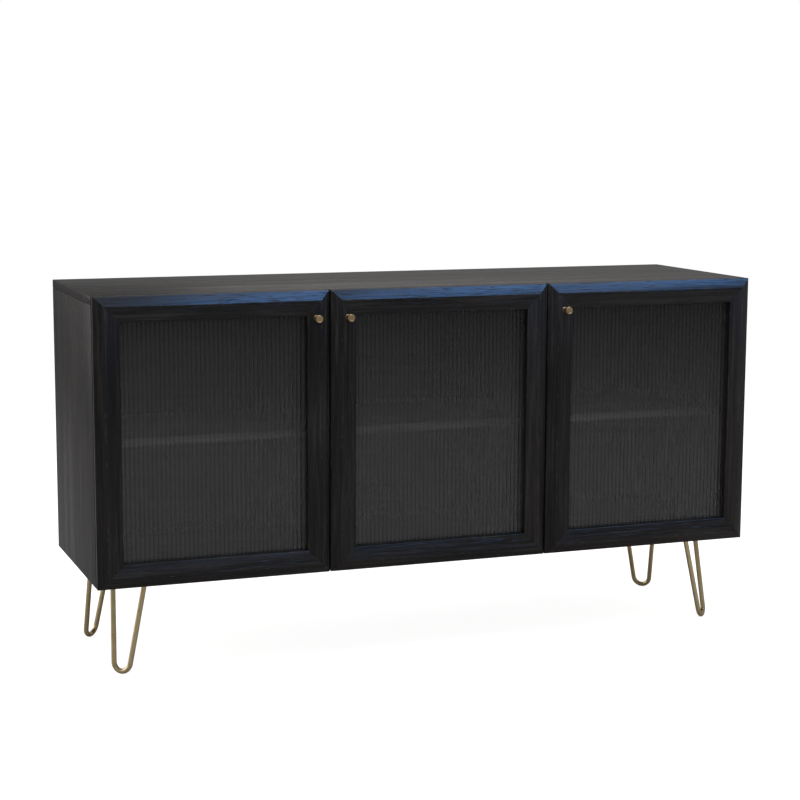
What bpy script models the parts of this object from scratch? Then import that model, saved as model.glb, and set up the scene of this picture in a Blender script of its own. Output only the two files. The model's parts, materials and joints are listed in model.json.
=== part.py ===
"""Three-door sideboard buffet on four hairpin legs, in metres with +Z up.

The origin is on the floor, under the middle of the overall box. The doors face -Y.
Each door hangs on two concealed cup hinges, reduced to one vertical pin each.
"""

from math import acos, atan2, cos, hypot, pi, radians, sin

import bmesh
import bpy
from mathutils import Matrix, Vector

# Overall sizes
WIDTH = 1.524
CARCASE_DEPTH = 0.427
CARCASE_HEIGHT = 0.611
LEG_HEIGHT = 0.202

# Carcase boards
PANEL = 0.018
BACK_BOARD = 0.006
HOUSING_DEPTH = 0.006
SHELF_SETBACK = 0.090
SHELF_TOP_ABOVE_FLOOR_BOARD = 0.279

# Doors: each is a mitred frame with a wide outer chamfer
DOOR_THICKNESS = 0.025
DOOR_GAP_TO_DOOR = 0.003
FRAME_WIDTH = 0.053
CHAMFER_WIDTH = 0.021
CHAMFER_DEPTH = 0.013
REBATE_WIDTH = 0.010
GLASS_SETBACK = 0.014

# Reeded glass and the beads that hold it
GLASS_THICKNESS = 0.005
REED_HEIGHT = 0.0012
REED_PITCH = 0.0095
GLASS_EDGE_CLEARANCE = 0.001

# Knob and its screw
KNOB_LENGTH = 0.025
KNOB_HEAD_RADIUS = 0.0082
KNOB_NECK_RADIUS = 0.0045
KNOB_BASE_RADIUS = 0.0060
KNOB_FROM_REBATE = 0.009
KNOB_FROM_DOOR_TOP = 0.057
KNOB_HOLE_DEPTH = 0.014
SCREW_RADIUS = 0.002
SCREW_HEAD_RADIUS = 0.004
SCREW_HEAD_HEIGHT = 0.0022

# Cup hinges
HINGE_FROM_DOOR_END = 0.095
PIN_FROM_EDGE = 0.010
PIN_TO_CUP_FLOOR = 0.0032
PIN_RADIUS = 0.0015
LARGEST_CUP_RADIUS = 0.0175
CUP_WALL = 0.0008
WOOD_BESIDE_CUP = 0.0045
WOOD_BEFORE_REBATE = 0.0035
WOOD_OVER_CUP = 0.0015
FLANGE_LENGTH = 0.052
FLANGE_WIDTH = 0.020
FLANGE_THICKNESS = 0.001
ARM_HEIGHT = 0.012
ARM_NOSE_THICKNESS = 0.0036
ARM_KNUCKLE_RADIUS = 0.0028
ARM_LEG_OFF_BOARD = 0.004
ARM_LEG_THICKNESS = 0.004
ARM_BLOCK_SETBACK = 0.006
ARM_BLOCK_LENGTH = 0.055

# Hairpin legs: one bent rod welded to a plate
ROD_RADIUS = 0.0055
ROD_TOP_SPACING = 0.081
BEND_RADIUS = 0.0205
FRONT_FOOT_FROM_SIDE = 0.060
FRONT_FOOT_FROM_FRONT = 0.048
BACK_FOOT_FROM_SIDE = 0.0555
BACK_FOOT_FROM_BACK = 0.064
LEG_SPLAY = 0.036
PLATE_LENGTH = 0.110
PLATE_WIDTH = 0.060
PLATE_THICKNESS = 0.004
PLATE_CORNER = 0.010

# Clearances
FIT = 0.0003
RUNNING = 0.0003
SWING_CLEARANCE = 0.001
CUT_PAST = 0.002

# The cup takes the flat land behind the frame member, up to its stock size, and the wood under the chamfer
LAND = FRAME_WIDTH - REBATE_WIDTH
CUP_RADIUS = min(LARGEST_CUP_RADIUS, (LAND - WOOD_BESIDE_CUP - WOOD_BEFORE_REBATE) / 2)
CUP_CENTRE_FROM_EDGE = WOOD_BESIDE_CUP + CUP_RADIUS
WOOD_AT_CUP_SIDE = DOOR_THICKNESS - CHAMFER_DEPTH * (1 - WOOD_BESIDE_CUP / CHAMFER_WIDTH)
CUP_DEPTH = WOOD_AT_CUP_SIDE - WOOD_OVER_CUP - FIT
PIN_FROM_BACK = CUP_DEPTH - CUP_WALL - PIN_TO_CUP_FLOOR
ARM_LEG_FROM_EDGE = PANEL + ARM_LEG_OFF_BOARD

# The gap behind a door lets its back corner swing round the pin
DOOR_GAP_TO_CARCASE = hypot(PIN_FROM_EDGE, PIN_FROM_BACK) - PIN_FROM_BACK + SWING_CLEARANCE

# Places that follow from the sizes above
OVERALL_DEPTH = CARCASE_DEPTH + DOOR_GAP_TO_CARCASE + DOOR_THICKNESS + KNOB_LENGTH + FIT
BACK_Y = OVERALL_DEPTH / 2
FRONT_Y = BACK_Y - CARCASE_DEPTH
DOOR_BACK_Y = FRONT_Y - DOOR_GAP_TO_CARCASE
DOOR_FACE_Y = DOOR_BACK_Y - DOOR_THICKNESS
BACK_BOARD_Y = BACK_Y - BACK_BOARD
BOTTOM_Z = LEG_HEIGHT
TOP_Z = LEG_HEIGHT + CARCASE_HEIGHT
FLOOR_Z = BOTTOM_Z + PANEL
CEILING_Z = TOP_Z - PANEL
SEAM_X = WIDTH / 6
SHELF_TOP_Z = FLOOR_Z + SHELF_TOP_ABOVE_FLOOR_BOARD


def clear_scene():
    for obj in list(bpy.data.objects):
        bpy.data.objects.remove(obj, do_unlink=True)


def new_collection(name):
    collection = bpy.data.collections.new(name)
    bpy.context.scene.collection.children.link(collection)
    return collection


def new_material(name, colour, roughness, metallic=0.0, transmission=0.0):
    material = bpy.data.materials.new(name)
    material.use_nodes = True
    shader = material.node_tree.nodes["Principled BSDF"]
    shader.inputs["Base Color"].default_value = (*colour, 1.0)
    shader.inputs["Roughness"].default_value = roughness
    shader.inputs["Metallic"].default_value = metallic
    shader.inputs["Transmission Weight"].default_value = transmission
    return material


def keep(obj, name, collection, material=None):
    """Names an object, gives it its material and moves it to its collection."""
    obj.name = name
    if obj.data:
        obj.data.name = name
    for other in list(obj.users_collection):
        other.objects.unlink(obj)
    collection.objects.link(obj)
    if material and obj.data and not obj.data.materials:
        obj.data.materials.append(material)
    return obj


def as_cutter(obj, name):
    keep(obj, name, cutters)
    obj.hide_render = True
    obj.display_type = "WIRE"
    return obj


def add_box(low, high):
    low, high = Vector(low), Vector(high)
    bpy.ops.mesh.primitive_cube_add(size=1, location=(low + high) / 2)
    obj = bpy.context.active_object
    obj.scale = high - low
    bpy.ops.object.transform_apply(location=False, rotation=False, scale=True)
    return obj


def add_cylinder(centre, radius, length, axis, sides=24):
    """A solid cylinder along Y or Z."""
    turn = (pi / 2, 0, 0) if axis == "Y" else (0, 0, 0)
    bpy.ops.mesh.primitive_cylinder_add(
        vertices=sides, radius=radius, depth=length, location=centre, rotation=turn
    )
    return bpy.context.active_object


def add_boolean(obj, other, operation="DIFFERENCE"):
    modifier = obj.modifiers.new(other.name, "BOOLEAN")
    modifier.operation = operation
    modifier.solver = "EXACT"
    modifier.object = other


def baked_mesh(obj, name):
    """The evaluated mesh of an object, in world space and welded. The object is then removed."""
    bpy.context.view_layer.update()
    graph = bpy.context.evaluated_depsgraph_get()
    mesh = bpy.data.meshes.new_from_object(obj.evaluated_get(graph))
    mesh.name = name
    mesh.transform(obj.matrix_world)
    bm = bmesh.new()
    bm.from_mesh(mesh)
    bmesh.ops.remove_doubles(bm, verts=bm.verts, dist=1e-6)
    bm.to_mesh(mesh)
    bm.free()
    bpy.data.objects.remove(obj, do_unlink=True)
    return mesh


def outline_curve(outlines, thickness):
    """A flat curve in XY, filled and extruded to a thickness along Z. Outlines after the first are holes."""
    curve = bpy.data.curves.new("outline", "CURVE")
    curve.dimensions = "2D"
    curve.fill_mode = "BOTH"
    curve.extrude = thickness / 2
    for outline in outlines:
        spline = curve.splines.new("POLY")
        spline.points.add(len(outline) - 1)
        for point, (x, y) in zip(spline.points, outline):
            point.co = (x, y, 0, 1)
        spline.use_cyclic_u = True
    obj = bpy.data.objects.new("outline", curve)
    bpy.context.scene.collection.objects.link(obj)
    return obj


def arc(centre, radius, start, end, steps):
    """Points along an arc, both ends included, with angles in radians."""
    angles = (start + (end - start) * i / steps for i in range(steps + 1))
    return [(centre[0] + radius * cos(a), centre[1] + radius * sin(a)) for a in angles]


def turned_mesh(name, profile, sides=24):
    """A solid of revolution about Z. The profile runs from the top of its outer side down, axis to axis."""
    mesh = bpy.data.meshes.new(name)
    edges = [(i, i + 1) for i in range(len(profile) - 1)]
    mesh.from_pydata([(r, 0, z) for r, z in profile], edges, [])
    obj = bpy.data.objects.new(name, mesh)
    bpy.context.scene.collection.objects.link(obj)
    screw = obj.modifiers.new("turn", "SCREW")
    screw.steps = sides
    screw.render_steps = sides
    screw.use_merge_vertices = True
    screw.merge_threshold = 0.00001
    turned = baked_mesh(obj, name)
    turned.shade_smooth()
    turned.set_sharp_from_angle(angle=radians(35))
    return turned


def wood_board(name, low, high):
    return keep(add_box(low, high), name, assembly, black_wood)


def cut_housing(board, name, low, high):
    """Cuts the seat of another board, given by that board's corners, with the fit clearance all round."""
    grown = Vector((FIT, FIT, FIT))
    cutter = as_cutter(add_box(Vector(low) - grown, Vector(high) + grown), name)
    add_boolean(board, cutter)


# Carcase


def build_carcase():
    half = WIDTH / 2
    inner = half - PANEL
    board = {}
    board["top"] = wood_board("top_panel", (-half, FRONT_Y, CEILING_Z), (half, BACK_Y, TOP_Z))
    board["bottom"] = wood_board(
        "bottom_panel", (-inner + FIT, FRONT_Y, BOTTOM_Z), (inner - FIT, BACK_Y, FLOOR_Z)
    )
    for side, x in (("left", -half), ("right", inner)):
        low = (x, FRONT_Y, BOTTOM_Z)
        high = (x + PANEL, BACK_Y, CEILING_Z - FIT)
        board[side] = wood_board(f"{side}_side_panel", low, high)
    build_back_board(board)
    for side, x in (("left", -SEAM_X), ("right", SEAM_X)):
        low = (x - PANEL / 2, FRONT_Y, FLOOR_Z - HOUSING_DEPTH)
        high = (x + PANEL / 2, BACK_BOARD_Y - FIT, CEILING_Z + HOUSING_DEPTH)
        board[f"{side}_divider"] = wood_board(f"{side}_divider", low, high)
        for name in ("top", "bottom"):
            cut_housing(board[name], f"{side}_divider_in_{name}", low, high)
    build_shelf("left", -inner, -SEAM_X - PANEL / 2, board["left"], board["left_divider"])
    build_shelf(
        "middle", -SEAM_X + PANEL / 2, SEAM_X - PANEL / 2, board["left_divider"], board["right_divider"]
    )
    build_shelf("right", SEAM_X + PANEL / 2, inner, board["right_divider"], board["right"])


def build_back_board(board):
    """A thin back let into rebates half a board wide."""
    reach = PANEL / 2
    low = (-WIDTH / 2 + reach, BACK_BOARD_Y, BOTTOM_Z + reach)
    high = (WIDTH / 2 - reach, BACK_Y, TOP_Z - reach)
    wood_board("back_panel", low, high)
    past = (high[0], high[1] + CUT_PAST, high[2])
    for name in ("top", "bottom", "left", "right"):
        cut_housing(board[name], f"back_in_{name}", low, past)


def build_shelf(name, left_x, right_x, left_board, right_board):
    low = (left_x - HOUSING_DEPTH, FRONT_Y + SHELF_SETBACK, SHELF_TOP_Z - PANEL)
    high = (right_x + HOUSING_DEPTH, BACK_BOARD_Y - FIT, SHELF_TOP_Z)
    wood_board(f"{name}_shelf", low, high)
    past = (high[0], BACK_BOARD_Y, high[2])
    cut_housing(left_board, f"{name}_shelf_left_end", low, past)
    cut_housing(right_board, f"{name}_shelf_right_end", low, past)


# Hairpin legs


def hairpin_path(top_z):
    """The rod's centre line in its own plane: two straight runs tangent to the bottom bend."""
    centre_z = BEND_RADIUS + ROD_RADIUS
    half = ROD_TOP_SPACING / 2
    rise = top_z - centre_z
    tangent = atan2(rise, half) - acos(BEND_RADIUS / hypot(half, rise))
    bend = arc((0, centre_z), BEND_RADIUS, tangent, -pi - tangent, 12)
    return [(half, top_z), *bend, (-half, top_z)]


def build_leg(name, side, end):
    """One leg in the corner given by side (-1 left, 1 right) and end (-1 front, 1 back)."""
    outward = Vector((side, end, 0)).normalized()
    along = Vector((outward.y, -outward.x, 0))
    if end < 0:
        from_side, foot_y = FRONT_FOOT_FROM_SIDE, FRONT_Y + FRONT_FOOT_FROM_FRONT
    else:
        from_side, foot_y = BACK_FOOT_FROM_SIDE, BACK_Y - BACK_FOOT_FROM_BACK
    foot = Vector((side * (WIDTH / 2 - from_side), foot_y, 0))
    plate_top = LEG_HEIGHT - FIT
    rod_top = plate_top - PLATE_THICKNESS / 2

    curve = bpy.data.curves.new(f"{name}_rod", "CURVE")
    curve.dimensions = "3D"
    curve.bevel_depth = ROD_RADIUS
    curve.bevel_resolution = 2
    curve.use_fill_caps = True
    path = hairpin_path(rod_top)
    spline = curve.splines.new("POLY")
    spline.points.add(len(path) - 1)
    for point, (across, z) in zip(spline.points, path):
        place = foot + along * across - outward * LEG_SPLAY * z / LEG_HEIGHT
        point.co = (place.x, place.y, z, 1)
    rod = bpy.data.objects.new(f"{name}_rod", curve)
    bpy.context.scene.collection.objects.link(rod)
    rod = bpy.data.objects.new(f"{name}_rod", baked_mesh(rod, f"{name}_rod"))
    bpy.context.scene.collection.objects.link(rod)
    as_cutter(rod, f"{name}_rod")

    top = foot - outward * LEG_SPLAY
    plate = add_box(
        (-PLATE_LENGTH / 2, -PLATE_WIDTH / 2, -PLATE_THICKNESS),
        (PLATE_LENGTH / 2, PLATE_WIDTH / 2, 0),
    )
    plate.location += Vector((top.x, top.y, plate_top))
    plate.rotation_euler.z = atan2(along.y, along.x)
    keep(plate, name, assembly, brass)
    round_plate_corners(plate)
    add_boolean(plate, rod, "UNION")


def round_plate_corners(plate):
    """Bevels the four upright edges of a plate."""
    bm = bmesh.new()
    bm.from_mesh(plate.data)
    upright = [e for e in bm.edges if abs((e.verts[0].co - e.verts[1].co).z) > PLATE_THICKNESS / 2]
    bmesh.ops.bevel(bm, geom=upright, offset=PLATE_CORNER, segments=4, profile=0.5, affect="EDGES")
    bm.to_mesh(plate.data)
    bm.free()


# Doors


def frame_profile():
    """The section of a frame member, as distance in from the door's edge and distance out from its back."""
    lip = DOOR_THICKNESS - GLASS_SETBACK
    return [
        (0, 0),
        (LAND, 0),
        (LAND, lip),
        (FRAME_WIDTH, lip),
        (FRAME_WIDTH, DOOR_THICKNESS),
        (CHAMFER_WIDTH, DOOR_THICKNESS),
        (0, DOOR_THICKNESS - CHAMFER_DEPTH),
    ]


def frame_member_mesh(name, length, reach, turn):
    """A mitred member. Reach is from the door's middle to the member's outer edge, turn is about Y."""
    outline = [(inward - reach, outward) for inward, outward in frame_profile()]
    mesh = baked_mesh(outline_curve([outline], length + 2 * CUT_PAST), name)
    to_door_axes = Matrix(((0, 0, 1, 0), (0, -1, 0, 0), (1, 0, 0, 0), (0, 0, 0, 1)))
    mesh.transform(to_door_axes)
    bm = bmesh.new()
    bm.from_mesh(mesh)
    for end in (-1, 1):
        outward = Vector((end, 0, 1)).normalized()
        corner = Vector((end * length / 2, 0, -reach)) - outward * FIT / 2
        geometry = bm.verts[:] + bm.edges[:] + bm.faces[:]
        cut = bmesh.ops.bisect_plane(
            bm, geom=geometry, plane_co=corner, plane_no=outward, clear_outer=True
        )
        edges = [e for e in cut["geom_cut"] if isinstance(e, bmesh.types.BMEdge)]
        bmesh.ops.holes_fill(bm, edges=edges)
    bmesh.ops.recalc_face_normals(bm, faces=bm.faces)
    bm.to_mesh(mesh)
    bm.free()
    mesh.transform(Matrix.Rotation(turn, 4, "Y"))
    return mesh


def hang(obj, door):
    """Parents a piece to its door's hinge axis without moving it."""
    obj.parent = door["axis"]
    obj.matrix_parent_inverse = Matrix.Translation(-door["axis"].location)
    return obj


def build_door_frame(door):
    """Four mitred members about the door's middle."""
    width = door["right"] - door["left"]
    middle = Vector(((door["left"] + door["right"]) / 2, DOOR_BACK_Y, (BOTTOM_Z + TOP_Z) / 2))
    members = (
        ("bottom_rail", width, CARCASE_HEIGHT / 2, 0),
        ("left_stile", CARCASE_HEIGHT, width / 2, pi / 2),
        ("top_rail", width, CARCASE_HEIGHT / 2, pi),
        ("right_stile", CARCASE_HEIGHT, width / 2, -pi / 2),
    )
    for part, length, reach, turn in members:
        name = f"{door['name']}_{part}"
        member = bpy.data.objects.new(name, frame_member_mesh(name, length, reach, turn))
        bpy.context.scene.collection.objects.link(member)
        member.location = middle
        hang(keep(member, name, assembly, black_wood), door)
        door[part] = member


def glass_outline(left, right, back_y, front_y):
    """A pane seen from above, with convex reeds along its front side."""
    count = round((right - left) / REED_PITCH)
    pitch = (right - left) / count
    steps = 4
    points = [(right, back_y), (left, back_y)]
    for reed in range(count):
        for step in range(steps):
            along = step / steps
            x = left + (reed + along) * pitch
            points.append((x, front_y + REED_HEIGHT * (1 - sin(pi * along))))
    points.append((right, front_y + REED_HEIGHT))
    return points[::-1]


def build_glazing(door):
    """The pane in its rebate and the four beads behind it."""
    left, right = door["left"] + LAND, door["right"] - LAND
    low, high = BOTTOM_Z + LAND, TOP_Z - LAND
    front_y = DOOR_BACK_Y - (DOOR_THICKNESS - GLASS_SETBACK) + FIT
    back_y = front_y + GLASS_THICKNESS
    outline = glass_outline(
        left + GLASS_EDGE_CLEARANCE, right - GLASS_EDGE_CLEARANCE, back_y, front_y
    )
    pane = outline_curve([outline], high - low - 2 * GLASS_EDGE_CLEARANCE)
    pane.location.z = (low + high) / 2
    hang(keep(pane, f"{door['name']}_glass", assembly, reeded_glass), door)

    near, far = back_y + FIT, DOOR_BACK_Y
    beads = {
        "top_bead": ((left + FIT, near, high - REBATE_WIDTH), (right - FIT, far, high - FIT)),
        "bottom_bead": ((left + FIT, near, low + FIT), (right - FIT, far, low + REBATE_WIDTH)),
        "left_bead": (
            (left + FIT, near, low + REBATE_WIDTH + FIT),
            (left + REBATE_WIDTH, far, high - REBATE_WIDTH - FIT),
        ),
        "right_bead": (
            (right - REBATE_WIDTH, near, low + REBATE_WIDTH + FIT),
            (right - FIT, far, high - REBATE_WIDTH - FIT),
        ),
    }
    for part, (corner, opposite) in beads.items():
        hang(wood_board(f"{door['name']}_{part}", corner, opposite), door)


# Knobs


def knob_mesh():
    """A mushroom knob with a shallow dish in its face. Z points out of the door."""
    bore = SCREW_RADIUS + FIT
    head_start = KNOB_LENGTH * 0.5
    profile = [
        (0, KNOB_LENGTH - 0.0008),
        (KNOB_HEAD_RADIUS * 0.68, KNOB_LENGTH - 0.0008),
        (KNOB_HEAD_RADIUS * 0.76, KNOB_LENGTH),
        (KNOB_HEAD_RADIUS * 0.92, KNOB_LENGTH),
        (KNOB_HEAD_RADIUS, KNOB_LENGTH - 0.0012),
        (KNOB_HEAD_RADIUS, KNOB_LENGTH - 0.0055),
        (KNOB_NECK_RADIUS, head_start),
        (KNOB_NECK_RADIUS, KNOB_LENGTH * 0.18),
        (KNOB_BASE_RADIUS, 0.0018),
        (KNOB_BASE_RADIUS, 0),
        (bore, 0),
        (bore, KNOB_HOLE_DEPTH),
        (0, KNOB_HOLE_DEPTH),
    ]
    return turned_mesh("knob", profile)


def knob_screw_mesh():
    """A pan-head screw whose head bears on the door's back. Z points out of the door."""
    tip = DOOR_THICKNESS + KNOB_HOLE_DEPTH - 0.002
    profile = [
        (0, tip),
        (SCREW_RADIUS * 0.7, tip),
        (SCREW_RADIUS, tip - 0.001),
        (SCREW_RADIUS, -FIT),
        (SCREW_HEAD_RADIUS, -FIT),
        (SCREW_HEAD_RADIUS, -SCREW_HEAD_HEIGHT * 0.6),
        (SCREW_HEAD_RADIUS * 0.6, -SCREW_HEAD_HEIGHT),
        (0, -SCREW_HEAD_HEIGHT),
    ]
    return turned_mesh("knob_screw", profile, 16)


def build_knob(door, knob, screw):
    """Knob and screw on the stile away from the hinge, through a clearance hole."""
    from_edge = LAND - KNOB_FROM_REBATE
    if door["hinge"] == "left":
        x, stile = door["right"] - from_edge, door["right_stile"]
    else:
        x, stile = door["left"] + from_edge, door["left_stile"]
    z = TOP_Z - KNOB_FROM_DOOR_TOP
    hole = add_cylinder(
        (x, (DOOR_BACK_Y + DOOR_FACE_Y) / 2, z),
        SCREW_RADIUS + FIT,
        DOOR_THICKNESS + 2 * CUT_PAST,
        "Y",
        16,
    )
    add_boolean(stile, as_cutter(hole, f"{door['name']}_knob_hole"))
    for part, mesh, y, material in (
        ("knob", knob, DOOR_FACE_Y - FIT, brass),
        ("knob_screw", screw, DOOR_BACK_Y, steel),
    ):
        piece = bpy.data.objects.new(part, mesh.copy())
        bpy.context.scene.collection.objects.link(piece)
        piece.location = (x, y, z)
        piece.rotation_euler.x = pi / 2
        hang(keep(piece, f"{door['name']}_{part}", assembly, material), door)


# Cup hinges


def hinge_cup_mesh():
    """A cup with its screw flange and its pin. X points away from the hinge edge and -Y out of the door."""
    cup = add_cylinder((0, (FIT - CUP_DEPTH) / 2, 0), CUP_RADIUS, CUP_DEPTH + FIT, "Y", 32)
    flange = add_box(
        (-FLANGE_WIDTH / 2, FIT, -FLANGE_LENGTH / 2),
        (FLANGE_WIDTH / 2, FIT + FLANGE_THICKNESS, FLANGE_LENGTH / 2),
    )
    rim = add_cylinder(
        (0, FIT + FLANGE_THICKNESS / 2 - 0.0001, 0), CUP_RADIUS, FLANGE_THICKNESS + 0.0002, "Y", 32
    )
    pocket_front = CUP_WALL - CUP_DEPTH
    pocket_back = FLANGE_THICKNESS + CUT_PAST
    pocket = add_cylinder(
        (0, (pocket_front + pocket_back) / 2, 0),
        CUP_RADIUS - CUP_WALL,
        pocket_back - pocket_front,
        "Y",
        32,
    )
    pin_x = PIN_FROM_EDGE - CUP_CENTRE_FROM_EDGE
    pin = add_cylinder((pin_x, -PIN_FROM_BACK, 0), PIN_RADIUS, 2 * CUP_RADIUS, "Z", 12)
    pin_ends = add_cylinder(
        (0, -CUP_DEPTH / 2, 0), CUP_RADIUS - CUP_WALL / 2, CUP_DEPTH, "Y", 32
    )
    add_boolean(pin, pin_ends, "INTERSECT")
    for part, operation in (
        (flange, "UNION"),
        (rim, "UNION"),
        (pocket, "DIFFERENCE"),
        (pin, "UNION"),
    ):
        add_boolean(cup, part, operation)
    mesh = baked_mesh(cup, "hinge_cup")
    for part in (flange, rim, pocket, pin, pin_ends):
        bpy.data.objects.remove(part, do_unlink=True)
    return mesh


def hinge_arm_outline(face):
    """The arm from above: knuckle, nose, leg and mounting block. X is in from the hinge edge, Y out of the door.

    Face is how far the board that carries the arm stands from the door's hinge edge.
    """
    half_nose = ARM_NOSE_THICKNESS / 2
    blend = atan2(half_nose, (ARM_KNUCKLE_RADIUS**2 - half_nose**2) ** 0.5)
    pin = (PIN_FROM_EDGE, PIN_FROM_BACK)
    outer = ARM_LEG_FROM_EDGE + ARM_LEG_THICKNESS
    block_front = -DOOR_GAP_TO_CARCASE - ARM_BLOCK_SETBACK
    block_back = block_front - ARM_BLOCK_LENGTH
    outline = arc(pin, ARM_KNUCKLE_RADIUS, blend, 2 * pi - blend, 14)
    outline += [
        (ARM_LEG_FROM_EDGE, PIN_FROM_BACK - half_nose),
        (ARM_LEG_FROM_EDGE, block_front),
        (face + FIT, block_front),
        (face + FIT, block_back),
        (outer, block_back),
        (outer, PIN_FROM_BACK + half_nose),
    ]
    hole = arc(pin, PIN_RADIUS + RUNNING, 0, 2 * pi * 11 / 12, 11)
    return [outline, hole]


def build_hinges(door, cup_mesh):
    """Two cups in the hinge stile and two arms on the carcase."""
    if door["hinge"] == "left":
        edge, inward, stile = door["left"], 1, door["left_stile"]
    else:
        edge, inward, stile = door["right"], -1, door["right_stile"]
    turn = 0 if inward == 1 else pi
    face = abs(door["board_face"] - edge)
    heights = (("lower", BOTTOM_Z + HINGE_FROM_DOOR_END), ("upper", TOP_Z - HINGE_FROM_DOOR_END))
    for level, z in heights:
        x = edge + inward * CUP_CENTRE_FROM_EDGE
        bore_depth = CUP_DEPTH + FIT
        bore = add_cylinder(
            (x, DOOR_BACK_Y - bore_depth / 2 + CUT_PAST / 2, z),
            CUP_RADIUS + FIT,
            bore_depth + CUT_PAST,
            "Y",
            32,
        )
        add_boolean(stile, as_cutter(bore, f"{door['name']}_{level}_cup_bore"))
        cup = bpy.data.objects.new("cup", cup_mesh.copy())
        bpy.context.scene.collection.objects.link(cup)
        cup.location = (x, DOOR_BACK_Y, z)
        cup.rotation_euler.y = turn
        hang(keep(cup, f"{door['name']}_{level}_hinge_cup", assembly, steel), door)

        arm = outline_curve(hinge_arm_outline(face), ARM_HEIGHT)
        arm.location = (edge, DOOR_BACK_Y, z)
        arm.matrix_world = (
            Matrix.Translation(arm.location) @ Matrix.Rotation(turn, 4, "Y") @ flat_to_plan()
        )
        keep(arm, f"{door['name']}_{level}_hinge_arm", assembly, steel)


def flat_to_plan():
    """Turns a plan outline, whose Y points out of the door, to face -Y."""
    return Matrix.Rotation(pi, 4, "X")


def build_door(name, left, right, hinge, board_face, shared):
    door = {"name": name, "left": left, "right": right, "hinge": hinge, "board_face": board_face}
    edge, inward = (left, 1) if hinge == "left" else (right, -1)
    axis = bpy.data.objects.new(f"{name}_hinge_axis", None)
    axis.location = (edge + inward * PIN_FROM_EDGE, DOOR_BACK_Y - PIN_FROM_BACK, 0)
    assembly.objects.link(axis)
    door["axis"] = axis
    build_door_frame(door)
    build_glazing(door)
    build_knob(door, shared["knob"], shared["screw"])
    build_hinges(door, shared["cup"])


def build_doors():
    shared = {"knob": knob_mesh(), "screw": knob_screw_mesh(), "cup": hinge_cup_mesh()}
    half, gap = WIDTH / 2, DOOR_GAP_TO_DOOR / 2
    build_door("left_door", -half, -SEAM_X - gap, "left", -half + PANEL, shared)
    build_door("middle_door", -SEAM_X + gap, SEAM_X - gap, "right", SEAM_X - PANEL / 2, shared)
    build_door("right_door", SEAM_X + gap, half, "right", half - PANEL, shared)


clear_scene()
assembly = new_collection("sideboard_buffet")
cutters = new_collection("cutters")
black_wood = new_material("black_wood", (0.020, 0.021, 0.025), 0.45)
reeded_glass = new_material("reeded_glass", (0.80, 0.84, 0.86), 0.08, transmission=1.0)
brass = new_material("brass", (0.52, 0.41, 0.22), 0.35, metallic=1.0)
steel = new_material("steel", (0.55, 0.55, 0.56), 0.30, metallic=1.0)
build_carcase()
for leg_name, leg_side, leg_end in (
    ("front_left_leg", -1, -1),
    ("front_right_leg", 1, -1),
    ("back_left_leg", -1, 1),
    ("back_right_leg", 1, 1),
):
    build_leg(leg_name, leg_side, leg_end)
build_doors()
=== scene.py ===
import json
from itertools import count
from math import acos, asin, atan2, cos, hypot, pi, radians, sin

import bpy
from mathutils import Matrix, Vector

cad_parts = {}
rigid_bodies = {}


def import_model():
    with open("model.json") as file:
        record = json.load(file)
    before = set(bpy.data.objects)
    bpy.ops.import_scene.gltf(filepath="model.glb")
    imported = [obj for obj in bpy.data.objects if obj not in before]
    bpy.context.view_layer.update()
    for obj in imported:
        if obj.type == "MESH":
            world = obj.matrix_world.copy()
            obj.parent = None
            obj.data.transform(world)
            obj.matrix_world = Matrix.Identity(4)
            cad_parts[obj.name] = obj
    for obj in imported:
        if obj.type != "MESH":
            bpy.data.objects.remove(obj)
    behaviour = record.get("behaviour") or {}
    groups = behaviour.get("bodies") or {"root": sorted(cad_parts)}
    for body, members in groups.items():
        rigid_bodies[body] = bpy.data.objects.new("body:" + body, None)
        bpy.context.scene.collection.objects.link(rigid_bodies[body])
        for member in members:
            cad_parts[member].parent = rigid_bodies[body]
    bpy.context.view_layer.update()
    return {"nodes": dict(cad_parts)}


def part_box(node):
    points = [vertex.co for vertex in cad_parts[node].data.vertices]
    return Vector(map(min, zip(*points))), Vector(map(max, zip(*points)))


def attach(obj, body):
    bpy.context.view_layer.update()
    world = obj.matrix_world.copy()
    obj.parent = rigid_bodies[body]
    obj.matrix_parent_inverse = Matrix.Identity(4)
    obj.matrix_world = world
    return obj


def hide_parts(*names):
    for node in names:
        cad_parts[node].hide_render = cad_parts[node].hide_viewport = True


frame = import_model()

rubbedSlot = 1  # material slot of a wooden piece's eased edges
shelfEdgeHighlightSlot = 2  # material slot of a shelf's front edge, which is painted paler as a highlight
easeAngle = 25  # edges sharper than this are eased
woodSmoothAngle = 40
turnedSmoothAngle = 35
doublesDistance = 0.00001  # places closer than this are the same
boardNumbers = count(1)


def deselectAll():
    bpy.ops.object.select_all(action="DESELECT")


def pick(piece):
    deselectAll()
    piece.select_set(True)
    bpy.context.view_layer.objects.active = piece


def applyPlace(piece):
    # the object goes back to the origin and its place stays in its mesh
    pick(piece)
    bpy.ops.object.transform_apply(location=True, rotation=True, scale=True)


def applyModifier(piece, modifier):
    pick(piece)
    bpy.ops.object.modifier_apply(modifier=modifier.name)


def addBlock(name, low, high):
    low, high = Vector(low), Vector(high)
    deselectAll()
    bpy.ops.mesh.primitive_cube_add(size=1, location=(low + high) / 2)
    block = bpy.context.active_object
    block.name = name
    block.scale = high - low
    applyPlace(block)
    return block


def addRodAlongY(name, centre, radius, length, sides):
    deselectAll()
    bpy.ops.mesh.primitive_cylinder_add(
        vertices=sides, radius=radius, depth=length, location=centre, rotation=(pi / 2, 0, 0))
    rod = bpy.context.active_object
    rod.name = name
    applyPlace(rod)
    return rod


def combine(piece, other, operation):
    # the other shape is used up
    boolean = piece.modifiers.new("combine", "BOOLEAN")
    boolean.object = other
    boolean.operation = operation
    boolean.solver = "EXACT"
    applyModifier(piece, boolean)
    bpy.data.objects.remove(other, do_unlink=True)


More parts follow.
